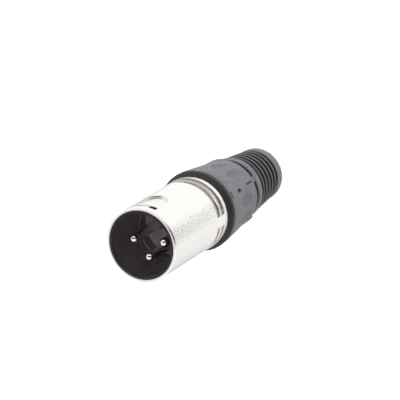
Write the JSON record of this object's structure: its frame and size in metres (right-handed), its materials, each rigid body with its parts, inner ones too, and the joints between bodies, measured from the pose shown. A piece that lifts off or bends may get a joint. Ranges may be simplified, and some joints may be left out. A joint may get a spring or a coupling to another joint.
{
  "type": "xlr plug",
  "caption": "Round cable plug with contact pins in a silver metal nose, a dark collar, a dimpled grip and a ribbed boot.",
  "frame": {"origin": "centre of the flat cable end, which the plug stands on", "axes": "+Z along the plug from the cable end to the mating face, -Y towards the latch recess, +Y towards contact 3, +X towards contact 1"},
  "size_m": [0.0208, 0.0208, 0.0652],
  "materials": {
    "plated_zinc": "satin nickel plating on a zinc casting",
    "insulator": "glossy black moulding",
    "silver_contact": "polished silver plating on brass",
    "spring_strip": "tinned spring strip",
    "clamp_plastic": "natural white moulding",
    "bushing_plastic": "satin black moulding",
    "boot_rubber": "matte charcoal rubber"
  },
  "bodies": {
    "bushing": {"bushing": "bushing_plastic", "boot": "boot_rubber"},
    "clamp": {"cable_clamp": "clamp_plastic"},
    "shell": {"shell": "plated_zinc", "insert": "insulator", "pin_1": "silver_contact", "pin_2": "silver_contact", "pin_3": "silver_contact", "ground_contact": "spring_strip"}
  },
  "joints": [
    {"name": "bushing_turn", "type": "hinge", "parent": "bushing", "child": "clamp", "pos_m": [0, 0, 0.0371], "axis": [0, 0, 1], "range_deg": [0, 990]},
    {"name": "shell_climb", "type": "slide", "parent": "clamp", "child": "shell", "axis": [0, 0, 1], "range_m": [0, 0.00413]}
  ],
  "couplings": [
    {"joint": "shell_climb", "follows": "bushing_turn", "m_per_rad": 0.00023873}
  ]
}
